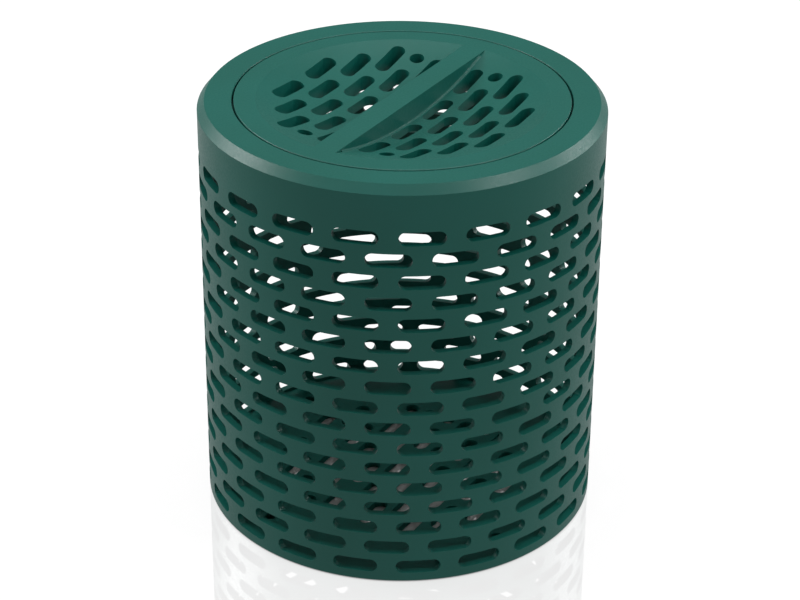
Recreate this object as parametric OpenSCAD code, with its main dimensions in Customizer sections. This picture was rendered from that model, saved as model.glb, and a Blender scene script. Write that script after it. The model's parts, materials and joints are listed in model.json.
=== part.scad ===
// Free-standing street litter bin: a round perforated drum with a flush,
// dished lift-off lid that is carried by a flat grab bar across the dish.
// The lid is a thick casting with a flat underside, and its slots go straight
// down through it.
// Origin: centre of the footprint, on the ground. +Z up, -Y is the front.

/* [Drum] */
// Outer diameter of the drum
drum_d = 450; // [430:1:470]
// Overall height above the ground
bin_h = 488; // [486:1:510]
// Thickness of the drum wall
wall_t = 8; // [6:0.5:9]
// Height of the drum's lower edge above the ground
ground_gap = 2; // [1:0.5:3]

/* [Perforation] */
// Overall length of the slots in the wall
slot_l = 50; // [40:1:52]
// Width of the slots in the wall
slot_w = 16; // [10:1:18]
// Rows of slots up the wall
wall_rows = 17; // [9:2:17]
// Slots in each row round the wall
wall_cols = 20; // [12:4:20]
// Height from one wall row to the next
wall_row_pitch = 25.5; // [22:0.5:25.5]
// Height of the lowest row's centre above the ground
first_row_z = 20.5; // [20.5:0.5:24]
// Angle of the lowest row's first slot from the front
wall_phase = 5.7; // [0:0.1:17.9]
// Overall length of the slots in the lid and the base
disc_slot_l = 51; // [40:0.5:52]
// Width of the slots in the lid and the base, and of their round holes
disc_slot_w = 17; // [12:0.5:17.5]
// Spacing of the slots along a row of the lid or base pattern
disc_slot_pitch = 67.5; // [64:0.5:70]
// Spacing from one row to the next in the lid and base pattern
disc_row_pitch = 25.5; // [24:0.5:26]
// Radius that the lid and base pattern stays inside
disc_field_r = 156; // [150:1:158]

/* [Rim] */
// Thickness of the top ring
rim_t = 10; // [10:0.5:11]
// Radial width of the chamfer on the top ring's outer edge
rim_chamfer_w = 8; // [4:0.5:8]
// Height of the chamfer on the top ring's outer edge
rim_chamfer_h = 9.5; // [4:0.5:9.5]
// Thickness of the ledge ring that carries the lid
seat_t = 4; // [3:0.5:5]
// Radius of the opening in the ledge ring
seat_open_r = 172; // [171:0.5:173]

/* [Lid] */
// Diameter of the lid
lid_d = 370; // [368:1:371]
// Gap between the lid's edge and the top ring
lid_gap = 2; // [1:0.5:3]
// Thickness of the lid's flange, which rests on the ledge
lid_t = 7; // [6:0.5:8]
// Full depth of the lid, from its top face to its flat underside
lid_depth = 33; // [32:0.5:34]
// Radius of the thick middle of the lid, inside the ledge ring
lid_core_r = 168; // [167:0.5:169]
// Radius of the rounded edges on both sides of the gap round the lid
edge_round = 1.2; // [0.5:0.1:1.5]
// Radius of the dish's edge on the lid's top face
dish_r = 161; // [159:0.5:162]
// Depth of the dish at its centre
dish_depth = 25.4; // [20:0.2:26]
// Width of the grab bar
bar_w = 28; // [20:1:30]
// Direction of the grab bar, anticlockwise from +X
bar_angle = 59.5; // [0:0.5:179.5]
// Radius of the fillet at the foot of the grab bar
bar_fillet = 2.5; // [2:0.5:4]

/* [Bag hoop] */
// Diameter of the hoop's round bar
hoop_rod_d = 8; // [6:1:8]
// Radius of the hoop, to the middle of its bar
hoop_r = 190; // [189:0.5:191]
// Depth of the hoop's centre below the top of the bin
hoop_drop = 38; // [37:0.5:42]
// Number of hangers that carry the hoop
hanger_n = 4; // [4]

/* [Base] */
// Thickness of the base plate
base_t = 8; // [7.5:0.5:8.5]
// Height of the base plate's underside above the ground
base_gap = 1.5; // [1:0.5:2]
// Diameter of the rubber feet
foot_d = 44; // [36:1:46]
// Radius of the circle that the feet stand on
foot_r = 190; // [185:1:192]
// Diameter of the ground anchor holes
anchor_d = 13; // [11:0.5:13.5]
// Diameter of the circle that the anchor holes lie on
anchor_pcd = 370; // [364:1:376]

/* [Hidden] */
$fn = 96;
eps = 0.01;
drum_r = drum_d / 2;
bore_r = drum_r - wall_t;
rim_z = bin_h - rim_t;
rim_in_r = lid_d / 2 + lid_gap;
seat_z = rim_z - seat_t;
seat_out_r = 206;
lid_r = lid_d / 2;
lid_z = bin_h - lid_t;
lid_under_z = bin_h - lid_depth;
wall_col_step = 360 / wall_cols;

// The dish is part of a sphere: its radius and the height of its centre
dish_sphere_r = (dish_r * dish_r + dish_depth * dish_depth) / (2 * dish_depth);
dish_sphere_z = bin_h - dish_depth + dish_sphere_r;

hoop_z = bin_h - hoop_drop;
hanger_t = 4;
hanger_w = 20;
hanger_leg_r = 208;
hanger_flange_r = 187;
hanger_screw_r = 195;
hanger_low_z = hoop_z - hoop_rod_d / 2 - hanger_t;
hanger_lip_h = 10;
// Play between the hoop and the hangers' lips
hoop_clear = 0.5;

pad_n = 6;
pad_d = 11;
pad_h = lid_z - rim_z;
pad_r = 178.5;

base_clear = 0.1;
base_r = bore_r - base_clear;
base_top = base_gap + base_t;
foot_pocket = 1.5;
foot_clear = 0.1;
lug_n = 4;
lug_w = 18;
lug_l = 20;
lug_h = 14;
lug_screw_r = bore_r - lug_l / 2;
lug_screw_recess = 4;
// The lugs stand behind the webs between the slots of the lowest row
lug_phase = wall_phase + wall_col_step / 2;
foot_n = 4;
foot_phase = lug_phase + 45;
anchor_n = 4;
anchor_phase = lug_phase + 22.5;

// Screws: thread diameter, head diameter, head height
ring_screw = [6, 10, 3.5];
lug_screw = [8, 14, 3.5];
bar_screw = [6, 10, 3.5];
ring_screw_n = 8;
ring_screw_grip = 8;
bar_screw_l = 20;
lug_screw_grip = 10;
drive_d = 4;
drive_depth = 2;
// Added to a screw's diameter where it only passes through
screw_clear = 0.6;

green = [0.20, 0.41, 0.376];
dark_green = [0.15, 0.31, 0.28];
steel = [0.72, 0.73, 0.74];
rubber_black = [0.09, 0.09, 0.09];

// Puts its children at radius r, at the given angle from the front
module at_polar(angle, r, z = 0) {
  rotate([0, 0, angle]) translate([0, -r, z]) children();
}

// Outline of one slot, lying along X
module slot_outline(l, w) {
  square([l - w, w], center = true);
  for (side = [-1, 1]) translate([side * (l - w) / 2, 0]) circle(d = w);
}

// Screw that points up, with its head's bearing face at z = 0
module screw(size, length) {
  difference() {
    union() {
      cylinder(d = size[0], h = length);
      translate([0, 0, -size[2]]) cylinder(d = size[1], h = size[2]);
    }
    translate([0, 0, -size[2] - eps]) cylinder(d = drive_d, h = drive_depth, $fn = 6);
  }
}

// Staggered slots in parallel rows along X. A slot that would leave the
// round field is cut down to its inner end hole, where that hole still fits.
module disc_pattern(first_row = 0) {
  half = (disc_slot_l - disc_slot_w) / 2;
  reach = ceil(disc_field_r / disc_row_pitch);
  steps = ceil(disc_field_r / disc_slot_pitch) + 1;
  for (row = [-reach:reach], step = [-steps:steps]) {
    x = (step + (row % 2 == 0 ? 0 : 0.5)) * disc_slot_pitch;
    y = row * disc_row_pitch;
    far_reach = norm([abs(x) + half, y]) + disc_slot_w / 2;
    near_reach = norm([max(abs(x) - half, 0), y]) + disc_slot_w / 2;
    if (abs(row) >= first_row) {
      if (far_reach < disc_field_r) {
        translate([x, y]) slot_outline(disc_slot_l, disc_slot_w);
      } else if (near_reach < disc_field_r && abs(x) > half) {
        translate([sign(x) * (abs(x) - half), y]) circle(d = disc_slot_w);
      }
    }
  }
}

module wall_slots() {
  for (row = [0:wall_rows - 1], col = [0:wall_cols - 1])
    at_polar(wall_phase + (col - (row % 2) / 2) * wall_col_step, bore_r - wall_t,
             first_row_z + row * wall_row_pitch)
      rotate([90, 0, 0]) linear_extrude(height = 3 * wall_t) slot_outline(slot_l, slot_w);
}

module drum_shell() {
  color(green)
  difference() {
    translate([0, 0, ground_gap]) cylinder(r = drum_r, h = rim_z - ground_gap, $fn = 240);
    translate([0, 0, -eps]) cylinder(r = bore_r, h = bin_h, $fn = 240);
    wall_slots();
  }
}

module top_ring() {
  color(green)
  difference() {
    translate([0, 0, rim_z]) rotate_extrude($fn = 240) {
      polygon([
        [rim_in_r, 0],
        [drum_r, 0],
        [drum_r, rim_t - rim_chamfer_h],
        [drum_r - rim_chamfer_w, rim_t],
        [rim_in_r + edge_round, rim_t],
        [rim_in_r, rim_t - edge_round]
      ]);
      translate([rim_in_r + edge_round, rim_t - edge_round]) circle(r = edge_round, $fn = 48);
    }
    ring_screw_holes(rim_z, ring_screw[0]);
  }
}

// Holes for the ring screws and the hanger screws, blind upwards from z
module ring_screw_holes(z, d) {
  for (i = [0:ring_screw_n - 1])
    at_polar((i + 0.5) * 360 / ring_screw_n, hanger_screw_r, z - eps)
      cylinder(d = d, h = ring_screw_grip + eps);
  for (i = [0:hanger_n - 1])
    at_polar(i * 360 / hanger_n, hanger_screw_r, z - eps)
      cylinder(d = d, h = ring_screw_grip + eps);
}

module seat_ring() {
  color(dark_green)
  difference() {
    translate([0, 0, seat_z]) cylinder(r = seat_out_r, h = seat_t, $fn = 240);
    translate([0, 0, seat_z - eps]) cylinder(r = seat_open_r, h = seat_t + 2 * eps, $fn = 240);
    ring_screw_holes(seat_z, ring_screw[0] + screw_clear);
  }
}

module ring_screws() {
  color(steel)
  for (i = [0:ring_screw_n - 1])
    at_polar((i + 0.5) * 360 / ring_screw_n, hanger_screw_r, seat_z)
      screw(ring_screw, seat_t + ring_screw_grip);
}

module seat_pad(i) {
  color(rubber_black)
  at_polar((i - 0.5) * 360 / pad_n, pad_r, rim_z) cylinder(d = pad_d, h = pad_h);
}

module bag_hoop() {
  color(steel)
  translate([0, 0, hoop_z]) rotate_extrude($fn = 180)
    translate([hoop_r, 0]) circle(d = hoop_rod_d, $fn = 32);
}

// Folded strip: a flange under the ledge ring, a leg behind the hoop, and a
// shelf with a lip that the hoop lies on
module hoop_hanger(i) {
  lip_r = hoop_r - hoop_rod_d / 2 - hoop_clear;
  color(dark_green)
  at_polar((i - 1) * 360 / hanger_n, 0)
    difference() {
      translate([-hanger_w / 2, 0, 0]) rotate([90, 0, 90])
        linear_extrude(height = hanger_w) polygon([
          [-hanger_flange_r, seat_z],
          [-hanger_leg_r, seat_z],
          [-hanger_leg_r, hanger_low_z],
          [-lip_r + hanger_t, hanger_low_z],
          [-lip_r + hanger_t, hanger_low_z + hanger_lip_h],
          [-lip_r, hanger_low_z + hanger_lip_h],
          [-lip_r, hanger_low_z + hanger_t],
          [-hanger_leg_r + hanger_t, hanger_low_z + hanger_t],
          [-hanger_leg_r + hanger_t, seat_z - hanger_t],
          [-hanger_flange_r, seat_z - hanger_t]
        ]);
      translate([0, -hanger_screw_r, seat_z - hanger_t - eps])
        cylinder(d = ring_screw[0] + screw_clear, h = hanger_t + 2 * eps);
    }
}

module hanger_screws() {
  color(steel)
  for (i = [0:hanger_n - 1])
    at_polar(i * 360 / hanger_n, hanger_screw_r, seat_z - hanger_t)
      screw(ring_screw, hanger_t + seat_t + ring_screw_grip);
}

module base_plate() {
  color(green)
  difference() {
    translate([0, 0, base_gap]) cylinder(r = base_r, h = base_t, $fn = 240);
    translate([0, 0, base_gap - eps]) linear_extrude(height = base_t + 2 * eps)
      rotate(bar_angle) disc_pattern();
    for (i = [0:anchor_n - 1])
      at_polar(anchor_phase + i * 360 / anchor_n, anchor_pcd / 2, base_gap - eps)
        cylinder(d = anchor_d, h = base_t + 2 * eps);
    for (i = [0:lug_n - 1])
      at_polar(lug_phase + i * 360 / lug_n, lug_screw_r, base_gap - eps) {
        cylinder(d = lug_screw[0] + screw_clear, h = base_t + 2 * eps);
        cylinder(d = lug_screw[1] + 2 * screw_clear, h = lug_screw_recess + eps);
      }
    for (i = [0:foot_n - 1])
      at_polar(foot_phase + i * 360 / foot_n, foot_r, base_gap - eps)
        cylinder(d = foot_d + 2 * foot_clear, h = foot_pocket + eps);
  }
}

// Block welded to the wall, with a threaded hole from below
module base_lug(i) {
  color(dark_green)
  difference() {
    intersection() {
      at_polar(lug_phase + (i - 1) * 360 / lug_n, bore_r - lug_l / 2, base_top)
        translate([-lug_w / 2, -lug_l / 2 - 1, 0]) cube([lug_w, lug_l + 1, lug_h]);
      cylinder(r = bore_r, h = bin_h, $fn = 240);
    }
    at_polar(lug_phase + (i - 1) * 360 / lug_n, lug_screw_r, base_top - eps)
      cylinder(d = lug_screw[0], h = lug_screw_grip + eps);
  }
}

module base_screws() {
  color(steel)
  for (i = [0:lug_n - 1])
    at_polar(lug_phase + i * 360 / lug_n, lug_screw_r, base_gap + lug_screw_recess)
      screw(lug_screw, base_t - lug_screw_recess + lug_screw_grip);
}

// Rubber pad that sits in a shallow pocket under the base plate
module foot(i) {
  edge = 0.8;
  color(rubber_black)
  at_polar(foot_phase + (i - 1) * 360 / foot_n, foot_r) {
    cylinder(d1 = foot_d - 2 * edge, d2 = foot_d, h = edge);
    translate([0, 0, edge]) cylinder(d = foot_d, h = base_gap + foot_pocket - edge);
  }
}

module dish_sphere() {
  translate([0, 0, dish_sphere_z]) sphere(r = dish_sphere_r, $fn = 300);
}

// Places of the screws that hold the grab bar, along the bar
function bar_screw_places() = [-disc_slot_pitch, 0, disc_slot_pitch];

// Thick disc with a flange at the top, hollowed by the dish and slotted
module lid_plate() {
  color(green)
  difference() {
    rotate_extrude($fn = 240) {
      translate([0, lid_under_z]) square([lid_core_r, lid_depth - edge_round]);
      translate([0, lid_z]) square([lid_r, lid_t - edge_round]);
      translate([0, lid_z]) square([lid_r - edge_round, lid_t]);
      translate([lid_r - edge_round, bin_h - edge_round]) circle(r = edge_round, $fn = 48);
    }
    dish_sphere();
    translate([0, 0, lid_under_z - 1]) linear_extrude(height = lid_depth + 2)
      rotate(bar_angle) disc_pattern(first_row = 1);
    for (s = bar_screw_places())
      rotate([0, 0, bar_angle]) translate([s, 0, lid_under_z - 1])
        cylinder(d = bar_screw[0] + screw_clear, h = lid_depth + 2);
  }
}

// One fillet along the foot of the bar, curved with the dish. It is turned
// about the dish sphere's centre, and side is -1 or 1. Its hollow face is made
// of two slopes, so that it meets the bar and the dish at a clear angle, and it
// stops where the bar is 1.5 times as high as the fillet.
module bar_foot_fillet(side) {
  sweep_half = acos((dish_sphere_z - bin_h + 1.5 * bar_fillet) / dish_sphere_r);
  foot = bar_w / 2;
  inner_r = dish_sphere_r - bar_fillet;
  middle = 0.3 * bar_fillet;
  translate([0, 0, dish_sphere_z]) rotate([90, 0, 0]) rotate([0, 0, -90 - sweep_half])
    rotate_extrude(angle = 2 * sweep_half, $fn = 300) polygon([
      [inner_r, side * (foot - 1)],
      [inner_r, side * foot],
      [dish_sphere_r - middle, side * (foot + middle)],
      [dish_sphere_r + middle, side * (foot + 2 * bar_fillet - middle)],
      [dish_sphere_r + middle, side * (foot - 1)]
    ]);
}

// Flat bar that bridges the dish, level with the lid's top face
module grab_bar() {
  color(green)
  rotate([0, 0, bar_angle])
  difference() {
    intersection() {
      dish_sphere();
      translate([-dish_r - 5, -bar_w, bin_h - 2 * dish_depth])
        cube([2 * dish_r + 10, 2 * bar_w, 2 * dish_depth]);
      union() {
        translate([-dish_r - 5, -bar_w / 2, bin_h - 2 * dish_depth])
          cube([2 * dish_r + 10, bar_w, 2 * dish_depth + 1]);
        for (side = [-1, 1]) bar_foot_fillet(side);
      }
    }
    for (s = bar_screw_places())
      translate([s, 0, lid_under_z]) cylinder(d = bar_screw[0], h = bar_screw_l);
  }
}

module bar_screws() {
  color(steel)
  rotate([0, 0, bar_angle])
  for (s = bar_screw_places())
    translate([s, 0, lid_under_z]) screw(bar_screw, bar_screw_l);
}

drum_shell();
top_ring();
seat_ring();
ring_screws();
seat_pad(1);  // seat_pad_1
seat_pad(2);  // seat_pad_2
seat_pad(3);  // seat_pad_3
seat_pad(4);  // seat_pad_4
seat_pad(5);  // seat_pad_5
seat_pad(6);  // seat_pad_6
bag_hoop();
hoop_hanger(1);  // hoop_hanger_1
hoop_hanger(2);  // hoop_hanger_2
hoop_hanger(3);  // hoop_hanger_3
hoop_hanger(4);  // hoop_hanger_4
hanger_screws();
base_plate();
base_lug(1);  // base_lug_1
base_lug(2);  // base_lug_2
base_lug(3);  // base_lug_3
base_lug(4);  // base_lug_4
base_screws();
foot(1);  // foot_1
foot(2);  // foot_2
foot(3);  // foot_3
foot(4);  // foot_4
lid_plate();
grab_bar();
bar_screws();
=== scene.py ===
"""Looks of the street litter bin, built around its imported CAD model."""
import json
import math

import bpy
from mathutils import Matrix, Vector


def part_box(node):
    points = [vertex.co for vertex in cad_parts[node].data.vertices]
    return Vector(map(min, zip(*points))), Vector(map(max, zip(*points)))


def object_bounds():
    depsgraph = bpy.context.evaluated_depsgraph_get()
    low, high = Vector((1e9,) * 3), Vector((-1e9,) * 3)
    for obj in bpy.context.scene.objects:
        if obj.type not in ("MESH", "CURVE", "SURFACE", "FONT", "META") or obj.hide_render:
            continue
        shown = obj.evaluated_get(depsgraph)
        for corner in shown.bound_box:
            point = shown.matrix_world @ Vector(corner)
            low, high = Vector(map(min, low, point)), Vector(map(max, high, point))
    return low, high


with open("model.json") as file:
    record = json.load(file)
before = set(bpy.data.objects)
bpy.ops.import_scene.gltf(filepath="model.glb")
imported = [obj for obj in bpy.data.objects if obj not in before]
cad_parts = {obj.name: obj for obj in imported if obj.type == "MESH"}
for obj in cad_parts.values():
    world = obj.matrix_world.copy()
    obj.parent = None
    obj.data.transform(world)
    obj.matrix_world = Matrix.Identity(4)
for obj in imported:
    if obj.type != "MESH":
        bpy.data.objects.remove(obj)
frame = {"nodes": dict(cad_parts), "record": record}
cad_low, cad_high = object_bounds()

# ---------------------------------------------------------------- stage
shell_low, shell_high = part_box("drum_shell")
RADIUS = (shell_high.x - shell_low.x) / 2
HEIGHT = cad_high.z

# The camera's place, in radii of the drum, how it is turned, and its lens
CAMERA_BACK = 10.5405
CAMERA_UP = 6.8733
CAMERA_PITCH = math.radians(-28.972)
CAMERA_YAW = math.radians(0.017)
CAMERA_ROLL = math.radians(0.556)
CAMERA_LENS = 106.44
SENSOR_WIDTH = 36.0

# Each softbox's name, place and size in metres, and power in watts
SOFTBOXES = (
    ("overhead", (0, 0.3, 3.2), (2.6, 2.6), 84),
    ("left_box", (-2.30, 0.55, 1.76), (1.7, 0.6), 74),
    ("right_box", (2.30, 0.98, 1.50), (1.5, 0.6), 40),
    ("front_box", (1.84, -0.84, 2.28), (0.7, 0.7), 36),
)


def make_camera():
    """A long lens in front of the bin and above it, looking down at it."""
    data = bpy.data.cameras.new("camera")
    data.lens = CAMERA_LENS
    data.sensor_width = SENSOR_WIDTH
    data.clip_end = 100
    camera = bpy.data.objects.new("camera", data)
    bpy.context.scene.collection.objects.link(camera)
    place = Matrix.Translation((0, -CAMERA_BACK * RADIUS, CAMERA_UP * RADIUS))
    turn = Matrix.Rotation(CAMERA_YAW, 4, "Z")
    tilt = Matrix.Rotation(math.pi / 2 + CAMERA_PITCH, 4, "X")
    roll = Matrix.Rotation(CAMERA_ROLL, 4, "Z")
    camera.matrix_world = place @ turn @ tilt @ roll
    bpy.context.scene.camera = camera


def make_world(front=0.95, back=0.3):
    """Even studio light, brighter from the front than from the back. In the
    floor, which is the only perfect mirror here, it is seen as plain white."""
    world = bpy.data.worlds.new("studio")
    world.use_nodes = True
    tree = world.node_tree
    background = tree.nodes["Background"]
    background.inputs["Color"].default_value = (1, 1, 1, 1)
    direction = tree.nodes.new("ShaderNodeTexCoord").outputs["Generated"]
    split = tree.nodes.new("ShaderNodeSeparateXYZ")
    tree.links.new(direction, split.inputs["Vector"])
    light = spread(tree, split.outputs["Y"], front, back, low_in=-0.3, high_in=0.5)
    mirrored = tree.nodes.new("ShaderNodeLightPath").outputs["Is Singular Ray"]
    mixer = tree.nodes.new("ShaderNodeMix")
    tree.links.new(mirrored, mixer.inputs["Factor"])
    tree.links.new(light, mixer.inputs["A"])
    mixer.inputs["B"].default_value = 1
    tree.links.new(mixer.outputs["Result"], background.inputs["Strength"])
    bpy.context.scene.world = world


def make_backdrop(size=28.0):
    """A plain white dome behind everything, which gives no light itself."""
    bpy.ops.mesh.primitive_uv_sphere_add(segments=48, ring_count=24, radius=size / 2)
    dome = bpy.context.object
    dome.name = "backdrop"
    material, tree, shader, place = new_material("backdrop")
    shader.inputs["Base Color"].default_value = (0, 0, 0, 1)
    shader.inputs["Specular IOR Level"].default_value = 0
    shader.inputs["Emission Color"].default_value = (1, 1, 1, 1)
    shader.inputs["Emission Strength"].default_value = 1
    dome.data.materials.append(material)
    dome.visible_diffuse = dome.visible_glossy = dome.visible_transmission = False
    dome.visible_shadow = False


def make_softbox(name, place, target, size, power):
    """A rectangular area light that faces target and isn't seen itself."""
    data = bpy.data.lights.new(name, "AREA")
    data.shape = "RECTANGLE"
    data.size, data.size_y = size
    data.energy = power
    light = bpy.data.objects.new(name, data)
    bpy.context.scene.collection.objects.link(light)
    light.location = place
    facing = Vector(target) - Vector(place)
    light.rotation_mode = "QUATERNION"
    light.rotation_quaternion = facing.to_track_quat("-Z", "Y")
    light.visible_camera = False


def make_plane(name, size, height=0.0):
    """A square plane at that height."""
    mesh = bpy.data.meshes.new(name)
    s = size / 2
    corners = [(-s, -s, height), (s, -s, height), (s, s, height), (-s, s, height)]
    mesh.from_pydata(corners, [], [(0, 1, 2, 3)])
    plane = bpy.data.objects.new(name, mesh)
    bpy.context.scene.collection.objects.link(plane)
    return plane


def make_floor(size=28.0, glow=0.70, light=0.62, diffuse=0.10, under=0.25, gloss_ior=2.2):
    """A pale glossy studio floor, mostly lit from within so that it stays even.
    The disc under the bin doesn't glow, and is lit only by what reaches it.
    A second plane, which isn't seen, is the light that the floor throws up."""
    seen = make_plane("floor", size)
    seen.visible_diffuse = seen.visible_glossy = False
    material, tree, shader, place = new_material("floor")
    outside = beyond_footprint(tree, place, 0, 1)
    tint = between(tree, outside, (under, under, 0.97 * under), (diffuse, diffuse, diffuse))
    tree.links.new(tint, shader.inputs["Base Color"])
    shader.inputs["Roughness"].default_value = 0
    shader.inputs["IOR"].default_value = gloss_ior
    shader.inputs["Emission Color"].default_value = (1, 1, 1, 1)
    tree.links.new(beyond_footprint(tree, place, 0, glow), shader.inputs["Emission Strength"])
    seen.data.materials.append(material)

    thrown = make_plane("floor_light", size, -0.001)
    thrown.visible_camera = False
    material, tree, shader, place = new_material("floor_light")
    shader.inputs["Base Color"].default_value = (diffuse, diffuse, diffuse, 1)
    shader.inputs["Specular IOR Level"].default_value = 0
    shader.inputs["Emission Color"].default_value = (1, 1, 1, 1)
    tree.links.new(beyond_footprint(tree, place, 0, light), shader.inputs["Emission Strength"])
    thrown.data.materials.append(material)


def beyond_footprint(tree, place, inside, outside):
    """A value that changes at the edge of the bin's footprint."""
    distance = tree.nodes.new("ShaderNodeVectorMath")
    distance.operation = "LENGTH"
    tree.links.new(place, distance.inputs[0])
    return spread(tree, distance.outputs["Value"], inside, outside,
                  low_in=0.985 * RADIUS, high_in=RADIUS)


# ------------------------------------------------------------- materials
# The darkest and the lightest tone of each material
COAT_GREENS = ((0.0004, 0.047, 0.036), (0.0006, 0.052, 0.041))
# The inner coat is the same green powder coat made darker: painted shade for the bin's inside
INNER_GREENS_PAINTED_SHADE = ((0.0004, 0.030, 0.024), (0.0006, 0.036, 0.029))
ZINC_GREYS = ((0.42, 0.43, 0.44), (0.56, 0.57, 0.58))
RUBBER_BLACKS = ((0.012, 0.012, 0.012), (0.028, 0.028, 0.027))


def new_material(name):
    """A material with its node tree, shader and a texture place in metres."""
    material = bpy.data.materials.new(name)
    material.use_nodes = True
    tree = material.node_tree
    place = tree.nodes.new("ShaderNodeTexCoord").outputs["Object"]
    return material, tree, tree.nodes["Principled BSDF"], place


def noise(tree, place, scale, detail):
    """Height of a noise texture, about 0 to 1."""
    node = tree.nodes.new("ShaderNodeTexNoise")
    node.inputs["Scale"].default_value = scale
    node.inputs["Detail"].default_value = detail
    tree.links.new(place, node.inputs["Vector"])
    return node.outputs["Fac"]


def spread(tree, value, low, high, low_in=0.3, high_in=0.7):
    """value, mapped from its usual range to low and high."""
    node = tree.nodes.new("ShaderNodeMapRange")
    node.inputs["From Min"].default_value = low_in
    node.inputs["From Max"].default_value = high_in
    node.inputs["To Min"].default_value = low
    node.inputs["To Max"].default_value = high
    tree.links.new(value, node.inputs["Value"])
    return node.outputs["Result"]


def between(tree, share, color_a, color_b):
    """A colour between two, by share."""
    node = tree.nodes.new("ShaderNodeMix")
    node.data_type = "RGBA"
    node.inputs["A"].default_value = (*color_a, 1)
    node.inputs["B"].default_value = (*color_b, 1)
    tree.links.new(share, node.inputs["Factor"])
    return node.outputs["Result"]


def bump(tree, height, distance, strength, under=None):
    """A bump of that height in metres, on top of another bump's normal if any."""
    node = tree.nodes.new("ShaderNodeBump")
    node.inputs["Distance"].default_value = distance
    node.inputs["Strength"].default_value = strength
    tree.links.new(height, node.inputs["Height"])
    if under is not None:
        tree.links.new(under, node.inputs["Normal"])
    return node.outputs["Normal"]


def powder_coat(name, color_a, color_b):
    """Fine-textured satin powder coat with a slight orange peel."""
    material, tree, shader, place = new_material(name)
    cloud = noise(tree, place, scale=9, detail=3)
    speck = noise(tree, place, scale=1400, detail=1)
    peel = noise(tree, place, scale=420, detail=2)
    color = between(tree, spread(tree, cloud, 0, 1), color_a, color_b)
    tree.links.new(color, shader.inputs["Base Color"])
    tree.links.new(spread(tree, peel, 0.36, 0.48), shader.inputs["Roughness"])
    shader.inputs["Specular IOR Level"].default_value = 0.25
    rough = bump(tree, speck, distance=0.00006, strength=0.6)
    wavy = bump(tree, peel, distance=0.00012, strength=0.5, under=rough)
    tree.links.new(wavy, shader.inputs["Normal"])
    return material


def zinc_plate(name):
    """Bright zinc plating with faint drawing marks."""
    material, tree, shader, place = new_material(name)
    cloud = noise(tree, place, scale=60, detail=3)
    grain = noise(tree, place, scale=900, detail=2)
    color = between(tree, spread(tree, cloud, 0, 1), *ZINC_GREYS)
    tree.links.new(color, shader.inputs["Base Color"])
    shader.inputs["Metallic"].default_value = 1.0
    tree.links.new(spread(tree, grain, 0.28, 0.45), shader.inputs["Roughness"])
    drawn = bump(tree, grain, distance=0.00004, strength=0.5)
    tree.links.new(drawn, shader.inputs["Normal"])
    return material


def moulded_rubber(name):
    """Matt black rubber with a fine mould grain."""
    material, tree, shader, place = new_material(name)
    cloud = noise(tree, place, scale=80, detail=3)
    grain = noise(tree, place, scale=1200, detail=2)
    color = between(tree, spread(tree, cloud, 0, 1), *RUBBER_BLACKS)
    tree.links.new(color, shader.inputs["Base Color"])
    tree.links.new(spread(tree, grain, 0.62, 0.8), shader.inputs["Roughness"])
    moulded = bump(tree, grain, distance=0.00008, strength=0.6)
    tree.links.new(moulded, shader.inputs["Normal"])
    return material


make_camera()
make_world()
make_backdrop()
make_floor()
for name, place, size, power in SOFTBOXES:
    make_softbox(name, place, (0, 0, HEIGHT), size, power)
bpy.context.scene.view_settings.view_transform = "Standard"

FINISHES = {
    "green_coat": powder_coat("green_coat", *COAT_GREENS),
    "green_cast": powder_coat("green_cast", *COAT_GREENS),
    # inner_coat: the green coat in darker tones, painted shade inside the bin
    "inner_coat": powder_coat("inner_coat", *INNER_GREENS_PAINTED_SHADE),
    "zinc_steel": zinc_plate("zinc_steel"),
    "black_rubber": moulded_rubber("black_rubber"),
}

for subpart in frame["record"]["subparts"]:
    mesh = frame["nodes"][subpart["node"]].data
    mesh.materials.clear()
    mesh.materials.append(FINISHES[subpart["material_slot"]])
